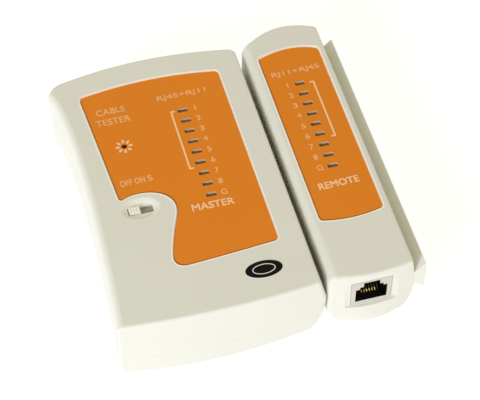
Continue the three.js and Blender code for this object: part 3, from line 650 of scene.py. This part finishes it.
def rail():
    slope = (RAIL["tip_high"] - RAIL["neck_high"]) / RAIL["reach"]
    neck = REMOTE["right"] - 1
    tip = REMOTE["right"] + RAIL["reach"]
    section = [(neck, RAIL["neck_low"] + slope), (tip, RAIL["tip_low"]),
               (tip, RAIL["tip_high"]), (neck, RAIL["neck_high"] - slope)]
    body = bar("rail", section, RAIL["start"], RAIL["end"])
    bevel(body, 0.25, 3)
    apply_modifiers(body)
    return paint(body, CASE)


def remote_front():
    shell = loft("remote_case_front", REMOTE, ring_heights(REMOTE, True), seam_at=PARTING)
    paint(shell, CASE)
    hollow = loft("hollow", REMOTE, HOLLOW_HEIGHTS, WALL)
    cutters = [
        hollow,
        label_cut(remote_label_outline),
        windows(REMOTE_LIGHTS, LIGHT_PLAY),
        *socket_cuts(*socket_place("remote_rj45_jack", REMOTE_AT, near=True), -1),
        *socket_cuts(*socket_place("remote_rj11_jack", REMOTE_AT), 1),
    ]
    combine(shell, cutters)
    combine(shell, [rail()], "UNION")
    pillars = [paint(post, CASE) for post in posts(REMOTE_POSTS, PARTING + 0.1, HEIGHT - WALL + 0.5)]
    shell = merge("remote_case_front", [shell, *pillars])
    smooth(shell)
    return settle(shell, REMOTE_AT, "remote", ["remote_front_shell"])


def remote_back():
    shell = loft("remote_case_back", REMOTE, ring_heights(REMOTE, False), seam_at=PARTING)
    hollow = loft("hollow", REMOTE, [WALL, 4.6, PARTING, 20], WALL)
    combine(shell, [hollow, screw_seats(REMOTE_POSTS)])
    shell = merge("remote_case_back", [shell, *posts(REMOTE_POSTS, SCREW_SEAT, PARTING - 0.1)])
    paint(shell, CASE)
    smooth(shell)
    return settle(shell, REMOTE_AT, "remote", ["remote_back_shell"])


# ---- labels and print ---------------------------------------------------------------------
def master_label_outline(grow, count=12):
    g = grow
    return trace((-61.5, 107.3 + g), [
        [(-63.8 - g, 107 + g), (-63.5 - g, 104.6)],
        [(-61.6 - g, 78), (-60.2 - g, 56.2)],
        [(-60 - g, 54.4 - g), (-58.7, 55 - g)],
        [(-54.5, 57.4 - g), (-45.6, 56.6 - g), (-42.2 - g, 52 - g)],
        [(-39.3 - g, 48.2), (-41.6 - g, 42.4)],
        [(-46.6 - g, 30), (-47.4 - g, 24.4)],
        [(-47.4 - g, 20.1 - g), (-42.2, 20.4 - g)],
        [(-26, 21.3 - g), (-11.2, 22.5 - g)],
        [(-9.1 + g, 22.7 - g), (-9.1 + g, 24.6)],
        [(-9.1 + g, 105.4)],
        [(-9.1 + g, 106.9 + g), (-10.6, 107.2 + g)],
        [(-35.5, 111.8 + g), (-61.5, 107.3 + g)],
    ], count)


def remote_label_outline(grow, count=12):
    g = grow
    left, right = 5.5 - g, 29.5 + g
    return trace((left, 28.1), [
        [(left, 26.8 - g), (left + 1.4, 26.5 - g)],
        [(17, 24 - g), (right - 1.5, 26.6 - g)],
        [(right, 26.9 - g), (right, 28.2)],
        [(right, 106.9)],
        [(right, 108.4 + g), (right - 1.7, 109 + g)],
        [(18.5, 112.9 + g), (left + 1.6, 108.9 + g)],
        [(left, 108.4 + g), (left, 107.2)],
        [(left, 28.1)],
    ], count)


def label(name, outline, lights, power=False):
    edge = 0.08
    levels = [(FILM_LOW, 0.0), (FILM_HIGH - edge, 0.0), (FILM_HIGH, -edge)]
    film = paint(skin(name, [raised(outline(grow), z) for z, grow in levels]), FILM)
    cutters = [windows(lights, 0)]
    if power:
        cutters.append(power_hole(POWER_RADIUS))
    combine(film, cutters)
    return smooth(film)


def embolden(mesh):
    """Thicker strokes from four copies, each a little higher so that no two faces coincide."""
    spread, step = 0.08, 0.008
    bm = bmesh.new()
    for i, (side, rise) in enumerate(((-1, -1), (1, -1), (-1, 1), (1, 1))):
        copy = mesh.copy()
        copy.transform(Matrix.Translation((side * spread, rise * spread, i * step)))
        bm.from_mesh(copy)
        bpy.data.meshes.remove(copy)
    bm.to_mesh(mesh)
    bm.free()
    obj = bpy.data.objects.new("words", mesh)
    bpy.context.scene.collection.objects.link(obj)
    return obj


def lettering(text, start, end, cap):
    """Raised words whose baseline runs from start to end, with letters `cap` high."""
    curve = bpy.data.curves.new("words", "FONT")
    curve.body = text
    curve.extrude = 0.5
    curve.resolution_u = 3
    holder = bpy.data.objects.new("words", curve)
    bpy.context.scene.collection.objects.link(holder)
    bpy.context.view_layer.update()
    graph = bpy.context.evaluated_depsgraph_get()
    mesh = bpy.data.meshes.new_from_object(holder.evaluated_get(graph), depsgraph=graph)
    bpy.data.objects.remove(holder)
    bpy.data.curves.remove(curve)
    xs = [v.co.x for v in mesh.vertices]
    ys = [v.co.y for v in mesh.vertices]
    run = Vector((end[0] - start[0], end[1] - start[1]))
    scale_x = run.length / (max(xs) - min(xs))
    scale_y = cap / (max(ys) - min(ys))
    depth = PRINT_HIGH - PRINT_LOW
    move = (Matrix.Translation((start[0], start[1], (PRINT_LOW + PRINT_HIGH) / 2))
            @ Matrix.Rotation(math.atan2(run.y, run.x), 4, "Z")
            @ Matrix.Diagonal((scale_x, scale_y, depth, 1))
            @ Matrix.Translation((-min(xs), -min(ys), 0)))
    mesh.transform(move)
    return embolden(mesh)


def bracket(x, top, bottom, tick):
    """Upright line with a short tick at each end."""
    width = 0.7
    way = math.copysign(1, tick)
    outer, inner, reach = x - way * width / 2, x + way * width / 2, x + tick
    outline = [(outer, bottom), (reach, bottom), (reach, bottom + width), (inner, bottom + width),
               (inner, top - width), (reach, top - width), (reach, top), (outer, top)]
    return [prism("bracket", outline, PRINT_LOW, PRINT_HIGH)]


def light_numbers(lights, offset, cap=2.4):
    """1 to 8 and G beside the lights."""
    printed = []
    for i, mark in enumerate("12345678G"):
        x, y = lights[0] + offset, lights[1] - i * LIGHT_PITCH - cap / 2
        half = {"1": 0.22, "G": 1.15}.get(mark, 0.8)
        printed.append(lettering(mark, (x - half, y), (x + half, y), cap))
    return printed


def sunburst(centre, inner, outer, count=8, points=12):
    """Ring of slim oval rays."""
    rays = []
    for i in range(count):
        angle = 2 * math.pi * i / count
        direction = Vector((math.cos(angle), math.sin(angle)))
        across = Vector((-direction.y, direction.x))
        outline = []
        for step in range(points):
            turn = 2 * math.pi * step / points
            along = (inner + outer) / 2 + (outer - inner) / 2 * math.cos(turn)
            side = 0.5 * math.sin(turn)
            point = direction * along + across * side
            outline.append((centre[0] + point.x, centre[1] + point.y))
        rays.append(prism("ray", outline, PRINT_LOW, PRINT_HIGH))
    return rays


def painted_edge_shadow(name, shape, at, body):
    """Painted shadow: a thin dark line along the left and near edges of a label, where its recess rim would
    cast shade.
    """
    width = 0.28
    line = prism(name, shape(-0.02), PRINT_LOW, FILM_HIGH + 0.01)
    kept_clear = [(x + width, y + width) for x, y in shape(0.0)]
    combine(line, [prism("clear", kept_clear, FILM_HIGH - 1, FILM_HIGH + 1)])
    paint(line, FILM_PAINTED_SHADOW)
    return settle(line, at, body)


def printing(name, pieces, at, body, ink):
    print_piece = merge(name, pieces)
    paint(print_piece, ink)
    return settle(print_piece, at, body)


def labels():
    label_rim("master_label_rim", master_label_outline, MASTER_AT, "master")
    label_rim("remote_label_rim", remote_label_outline, REMOTE_AT, "remote")
    settle(label("master_label_film", master_label_outline, MASTER_LIGHTS, True), MASTER_AT, "master",
           ["master_label"])
    settle(label("remote_label_film", remote_label_outline, REMOTE_LIGHTS), REMOTE_AT, "remote",
           ["remote_label"])
    painted_edge_shadow("master_label_painted_shadow", master_label_outline, MASTER_AT, "master")
    painted_edge_shadow("remote_label_painted_shadow", remote_label_outline, REMOTE_AT, "remote")
    printing("master_print_words", [
        lettering("RJ45+RJ11", (-35.0, 97.3), (-16.1, 97.4), 2.9),
        lettering("CABLE", (-59.1, 96.4), (-47.9, 96.4), 2.9),
        lettering("TESTER", (-60.2, 91.3), (-47.0, 91.3), 2.9),
        lettering("OFF", (-58.1, 60.8), (-53.5, 60.9), 2.7),
        lettering("ON", (-52.6, 60.9), (-48.7, 61.0), 2.7),
        lettering("S", (-47.5, 61.0), (-45.9, 61.1), 2.7),
    ], MASTER_AT, "master", INK_FAINT)
    printing("master_print_name", [lettering("MASTER", (-35.5, 43.0), (-19.8, 42.6), 3.0)],
             MASTER_AT, "master", INK)
    printing("master_print_numbers", light_numbers(MASTER_LIGHTS, 4.9), MASTER_AT, "master", INK_FAINT)
    printing("master_print_bracket", bracket(-31.5, 91.6, 62.3, 1.5), MASTER_AT, "master", INK)
    printing("master_print_sunburst", sunburst(POWER_LIGHT, 1.5, 3.35), MASTER_AT, "master", INK)
    printing("remote_print_words", [lettering("RJ11+RJ45", (8.2, 97.2), (27.3, 97.5), 2.9)],
             REMOTE_AT, "remote", INK_FAINT)
    printing("remote_print_name", [lettering("REMOTE", (9.55, 40.1), (24.95, 40.4), 3.0)],
             REMOTE_AT, "remote", INK)
    printing("remote_print_numbers", light_numbers(REMOTE_LIGHTS, -4.9), REMOTE_AT, "remote", INK_FAINT)
    printing("remote_print_bracket", bracket(22.8, 92.3, 63.5, -1.5), REMOTE_AT, "remote", INK)


def sticker():
    low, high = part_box("master_badge")
    rx, ry = (high.x - low.x) / 2 / MM, (high.y - low.y) / 2 / MM
    top = high.z / MM
    rim = turned("master_sticker_rim", *BADGE, [(1, HEIGHT), (1, top - 0.05), (0.985, top)], 64, (rx, ry))
    paint(rim, STICKER_RIM)
    smooth(rim)
    settle(rim, MASTER_AT, "master", ["master_badge"])
    profile = [(0.96, top - 0.02), (0.96, top + 0.01), (0.95, top + 0.03)]
    face = turned("master_sticker_face", *BADGE, profile, 64, (rx, ry))
    ring = turned("ring", *BADGE, [(1, top - 0.05), (1, top + 0.05)], 48, (rx * 0.6, ry * 0.58))
    hole = turned("hole", *BADGE, [(1, top - 1), (1, top + 1)], 48, (rx * 0.55, ry * 0.49))
    combine(ring, [hole])
    paint(face, STICKER)
    smooth(face)
    settle(face, MASTER_AT, "master")
    paint(ring, STICKER_RIM)
    settle(ring, MASTER_AT, "master")
    ring.name = "master_sticker_ring"


# ---- lights -------------------------------------------------------------------------------
def light(name, node, at, body):
    """Small block lens, sunk in its window, on a wider foot."""
    low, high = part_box(node)
    centre = (low + high) / 2 / MM
    x, y = centre.x - at[0], centre.y - at[1]
    half_x, half_y = LIGHT_SIZE[0] / 2 - 0.1, LIGHT_SIZE[1] / 2 - 0.1
    lens = block(name, x - half_x, x + half_x, y - half_y, y + half_y, BOARD_HIGH + 0.4, HEIGHT - LIGHT_SINK)
    foot = block("foot", x - half_x - 0.3, x + half_x + 0.3, y - half_y - 0.3, y + half_y + 0.3,
                 BOARD_HIGH, BOARD_HIGH + 0.7)
    lens = combine(lens, [foot], "UNION")
    paint(lens, LENS)
    bevel(lens, 0.16, 3)
    apply_modifiers(lens)
    smooth(lens, 50)
    return settle(lens, at, body, [node])


def lights():
    for unit, at in (("master", MASTER_AT), ("remote", REMOTE_AT)):
        for tag in "12345678g":
            light(f"{unit}_light_{tag}", f"{unit}_led_{tag}", at, unit)
    dome = []
    steps = 8
    for step in range(steps + 1):
        angle = math.pi / 2 * step / steps
        dome.append((max(POWER_RADIUS * math.cos(angle), 0.02), HEIGHT - 0.9 + 0.8 * math.sin(angle)))
    foot = POWER_RADIUS + 0.3
    profile = [(foot, BOARD_HIGH), (foot, BOARD_HIGH + 0.7), (POWER_RADIUS, BOARD_HIGH + 0.7), *dome]
    lamp = turned("master_power_lamp", *POWER_LIGHT, profile, 32)
    paint(lamp, POWER)
    smooth(lamp)
    settle(lamp, MASTER_AT, "master", ["master_power_led"])


# ---- sockets ------------------------------------------------------------------------------
def socket_place(node, at, near=False):
    """Centre, open face and width of a socket, from its CAD block."""
    low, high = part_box(node)
    face = low.y if near else high.y
    return (low.x + high.x) / 2 / MM - at[0], face / MM - at[1], (high.x - low.x) / MM


OPENING = dict(bottom=1.7, height=7.0, shoulder=1.2, latch=3.4, depth=13.5)
SOCKETS = {
    "rj45": dict(open_width=11.8, contacts=8, latch=6.1, shoulder=8.8, depth=21.0),
    "rj11": dict(open_width=9.7, contacts=6, latch=3.6, shoulder=6.2, depth=18.0),
}
CONTACT_PITCH = 1.02
# the wires are painted lit gold only over this stretch behind the open face, and in painted shade elsewhere
# and on the two outer ones
PAINTED_LIT_FROM, PAINTED_LIT_TO = 3.1, 3.9


def jack(unit, kind, at, near=False):
    """Socket block with a stepped plug opening whose inside is painted near black, for its dark insert and
    as painted shade in the deep opening.
    """
    node = f"{unit}_{kind}_jack"
    facts = SOCKETS[kind]
    centre, face, width = socket_place(node, at, near)
    floor = SOCKET_LOW + OPENING["bottom"]
    ceiling = floor + OPENING["height"]
    body = block(node + "_body", -width / 2, width / 2, 0, facts["depth"], SOCKET_LOW, BOARD_LOW)
    bevel(body, 0.2, 2)
    apply_modifiers(body)
    paint(body, SOCKET)
    half, shoulder, latch = facts["open_width"] / 2, facts["shoulder"] / 2, facts["latch"] / 2
    outline = [(-half, floor), (half, floor), (half, ceiling), (shoulder, ceiling),
               (shoulder, ceiling + OPENING["shoulder"]), (latch, ceiling + OPENING["shoulder"]),
               (latch, ceiling + OPENING["latch"]), (-latch, ceiling + OPENING["latch"]),
               (-latch, ceiling + OPENING["shoulder"]), (-shoulder, ceiling + OPENING["shoulder"]),
               (-shoulder, ceiling), (-half, ceiling)]
    cutter = bar("opening", outline, -1, OPENING["depth"])
    # the opening's walls are painted near black, for the insert and as painted shade
    combine(body, [paint(cutter, SOCKET_INSERT_AND_SHADE)])
    smooth(body)
    turn = Matrix.Identity(4) if near else Matrix.Rotation(math.pi, 4, "Z")
    body.data.transform(Matrix.Translation((centre, face, 0)) @ turn)
    settle(body, at, unit, [node])

    wires = []
    for i in range(facts["contacts"]):
        x = (i - (facts["contacts"] - 1) / 2) * CONTACT_PITCH
        wires.append(spring_wire(x, floor + 0.35))
    wires = merge(f"{unit}_{kind}_wires", wires)
    # lit gold only on a short stretch of the middle wires, painted shade on the rest
    paint(wires, GOLD, GOLD_PAINTED_SHADE)
    outer = (facts["contacts"] - 2) / 2 * CONTACT_PITCH
    for patch in wires.data.polygons:
        lit = PAINTED_LIT_FROM < patch.center.y < PAINTED_LIT_TO and abs(patch.center.x) < outer
        patch.material_index = 0 if lit else 1
    smooth(wires, 60)
    wires.data.transform(Matrix.Translation((centre, face, 0)) @ turn)
    settle(wires, at, unit, [f"{unit}_{kind}_contacts"])


def spring_wire(x, floor):
    """Round spring wire: along the floor, up towards the back in a slope, and down again."""
    radius = 0.18
    sides = 8
    rises = [(2.6, -0.1), (3.0, 0.1), (3.7, 0.8), (4.6, 1.7), (5.4, 2.1),
             (8.0, 2.1), (11.0, 1.9), (11.9, 1.3), (12.3, 0.4), (12.9, 0.0)]
    path = [(y, floor + rise) for y, rise in rises]
    rings = []
    for i, (y, z) in enumerate(path):
        before, after = path[max(i - 1, 0)], path[min(i + 1, len(path) - 1)]
        along = Vector((after[0] - before[0], after[1] - before[1])).normalized()
        up = (-along.y, along.x)
        ring = []
        for step in range(sides):
            turn = 2 * math.pi * step / sides
            side, rise = radius * math.cos(turn), radius * math.sin(turn)
            ring.append((x + side, y + up[0] * rise, z + up[1] * rise))
        rings.append(ring)
    return skin("wire", rings)


# ---- switch, battery door and screws --------------------------------------------------------
def switch_knob():
    """Thumb piece with rounded ribs across its top and a flange that closes the slot, the flange painted
    darker as painted shade in the slot.
    """
    low, high = KNOB_LOW, KNOB_HIGH
    ribs = 4
    steps = 6
    pitch = (high.x - low.x) / ribs
    groove = 0.5
    top = [(low.x, low.z)]
    for i in range(ribs):
        for step in range(1, steps):
            share = step / steps
            x = low.x + (i + share) * pitch
            top.append((x, high.z - groove + groove * math.sin(math.pi * share) ** 0.6))
    top.append((high.x, low.z))
    stem = bar("master_thumb_piece", top, low.y, high.y)
    bevel(stem, 0.12, 2, 50)
    apply_modifiers(stem)
    flange = block("flange", low.x - FLANGE.x, high.x + FLANGE.x, low.y - FLANGE.y, high.y + FLANGE.y,
                   low.z, low.z + FLANGE_THICK)
    # the flange takes the darker colour as painted shade in the slot
    combine(paint(stem, KNOB), [paint(flange, SLOT_PAINTED_SHADE)], "UNION")
    smooth(stem, 40)
    return settle(stem, MASTER_AT, "switch", ["master_switch_knob"])


def battery_door():
    """Sliding-catch door: flush panel with grip ribs, an arrow, two tongues and a catch."""
    low, high = DOOR_LOW, DOOR_HIGH
    edge = high.x - DOOR_TONGUE
    base = 0.1
    outline = rounded_rectangle(low.x, edge, low.y, high.y, 1.2)
    panel = skin("master_door_panel", [raised(outline, z) for z in (base, base + DOOR_THICK)])
    grips = [block("grip", low.x + 4.6 + i * 1.8, low.x + 5.4 + i * 1.8, 12, 26, base - 1, base + 0.45)
             for i in range(5)]
    arrow_shape = [(low.x + 16, 19), (low.x + 20.5, 15.5), (low.x + 20.5, 22.5)]
    arrow = prism("arrow", arrow_shape, base - 1, base + 0.3)
    combine(panel, [merge("grips", grips), arrow])
    bevel(panel, 0.15, 2, 60)
    apply_modifiers(panel)
    parts = [panel]
    for y in (9, 24):
        parts.append(block("arm", edge - 3, edge - 0.6, y, y + 5, base + DOOR_THICK - 0.3, WALL + 0.9))
        parts.append(block("tip", edge - 0.8, high.x, y, y + 5, WALL + 0.2, WALL + 0.9))
    parts.append(block("catch", low.x + 1.2, low.x + 2.2, 14, 24, base + DOOR_THICK - 0.3, high.z))
    door = merge("master_door_panel", parts)
    paint(door, CASE)
    smooth(door)
    return settle(door, MASTER_AT, "battery_door", ["master_battery_door"])


def screw(name, node, x, y, at, body):
    """Pan-head screw seen from below, with a cross recess and a pointed shank."""
    low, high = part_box(node)
    bottom, top = low.z / MM, high.z / MM
    radius = (high.x - low.x) / 2 / MM
    profile = [(radius * 0.3, bottom), (radius * 0.62, bottom + 0.06), (radius * 0.86, bottom + 0.28),
               (radius, bottom + 0.62), (radius, SCREW_SEAT), (radius * 0.5, SCREW_SEAT),
               (radius * 0.5, top - 1.4), (0.06, top)]
    body_mesh = turned(name, x, y, profile, 28)
    paint(body_mesh, STEEL)
    slots = []
    for half_x, half_y in ((1.4, 0.25), (0.25, 1.4)):
        slot = rounded_rectangle(x - half_x, x + half_x, y - half_y, y + half_y, 0.1)
        slots.append(prism("slot", slot, bottom - 1, bottom + 0.9))
    combine(body_mesh, slots)
    smooth(body_mesh)
    return settle(body_mesh, at, body, [node])


def screws():
    for unit, at, places in (("master", MASTER_AT, MASTER_POSTS), ("remote", REMOTE_AT, REMOTE_POSTS)):
        for i, (x, y) in enumerate(places, start=1):
            screw(f"{unit}_cross_screw_{i}", f"{unit}_screw_{i}", x, y, at, unit)


# ---- pieces inside the cases, kept as the CAD has them ---------------------------------------
def inner_pieces():
    finishes = {
        "master_board": BOARD,
        "remote_board": BOARD,
        "master_switch_body": STEEL,
        "master_battery": JACKET,
        "master_battery_snap": VINYL,
        "master_lead_red": WIRE_RED,
        "master_lead_black": WIRE_BLACK,
        "master_chip_counter": CHIP,
        "master_chip_timer": CHIP,
        "master_capacitor": SLEEVE,
    }
    for node, finish in finishes.items():
        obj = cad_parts[node]
        obj.data.materials.clear()
        obj.data.materials.append(finish)
        if node not in ("master_lead_red", "master_lead_black"):
            bevel(obj, 0.0003, 2)


# ---- stage --------------------------------------------------------------------------------
def camera():
    azimuth, elevation, roll = math.radians(15.8), math.radians(51.867), math.radians(-0.281)
    ahead = Vector((math.sin(azimuth) * math.cos(elevation), math.cos(azimuth) * math.cos(elevation),
                    -math.sin(elevation)))
    level = Vector((math.cos(azimuth), -math.sin(azimuth), 0))
    down = ahead.cross(level).normalized()
    right = level * math.cos(roll) + down * math.sin(roll)
    up = -(down * math.cos(roll) - level * math.sin(roll))
    data = bpy.data.cameras.new("camera")
    data.sensor_width = 36
    data.lens = 134.2
    data.clip_start, data.clip_end = 0.05, 20
    obj = bpy.data.objects.new("camera", data)
    bpy.context.scene.collection.objects.link(obj)
    turn = Matrix((right, up, -ahead)).transposed().to_4x4()
    obj.matrix_world = Matrix.Translation((-0.10974, -0.40354, 0.5407)) @ turn
    bpy.context.scene.camera = obj


def area_light(name, at, size, power, colour=(1, 1, 1)):
    data = bpy.data.lights.new(name, "AREA")
    data.shape = "RECTANGLE"
    data.size, data.size_y = size
    data.energy = power
    data.color = colour
    obj = bpy.data.objects.new(name, data)
    obj.location = at
    obj.rotation_mode = "QUATERNION"
    obj.rotation_quaternion = Vector(at).to_track_quat("Z", "Y")
    bpy.context.scene.collection.objects.link(obj)


def floor():
    bm = bmesh.new()
    bmesh.ops.create_grid(bm, x_segments=1, y_segments=1, size=3)
    plane = add_object("floor", bm)
    plane.location.z = -0.05 * MM
    material = bpy.data.materials.new("floor_white")
    material.use_nodes = True
    shader = material.node_tree.nodes["Principled BSDF"]
    shader.inputs["Base Color"].default_value = (0.5, 0.5, 0.5, 1)
    shader.inputs["Roughness"].default_value = 1.0
    shader.inputs["Specular IOR Level"].default_value = 0.0
    shader.inputs["Emission Color"].default_value = (1, 1, 1, 1)
    shader.inputs["Emission Strength"].default_value = 0.7
    plane.data.materials.append(material)


def studio():
    world = bpy.data.worlds.new("studio")
    world.use_nodes = True
    background = world.node_tree.nodes["Background"]
    background.inputs["Color"].default_value = (1.0, 0.953, 0.783, 1)
    background.inputs["Strength"].default_value = 0.657
    bpy.context.scene.world = world
    area_light("key", (-0.88, -0.82, 0.56), (0.3, 0.3), 9.4, (0.741, 0.802, 1.0))
    bpy.context.scene.view_settings.view_transform = "Standard"
    bpy.context.scene.view_settings.look = "None"


camera()
master_front()
master_back()
remote_front()
remote_back()
labels()
sticker()
lights()
for place_unit, place_kind, place_at, place_near in (
    ("master", "rj45", MASTER_AT, False), ("master", "rj11", MASTER_AT, False),
    ("remote", "rj45", REMOTE_AT, True), ("remote", "rj11", REMOTE_AT, False),
):
    jack(place_unit, place_kind, place_at, place_near)
switch_knob()
battery_door()
screws()
inner_pieces()
floor()
studio()
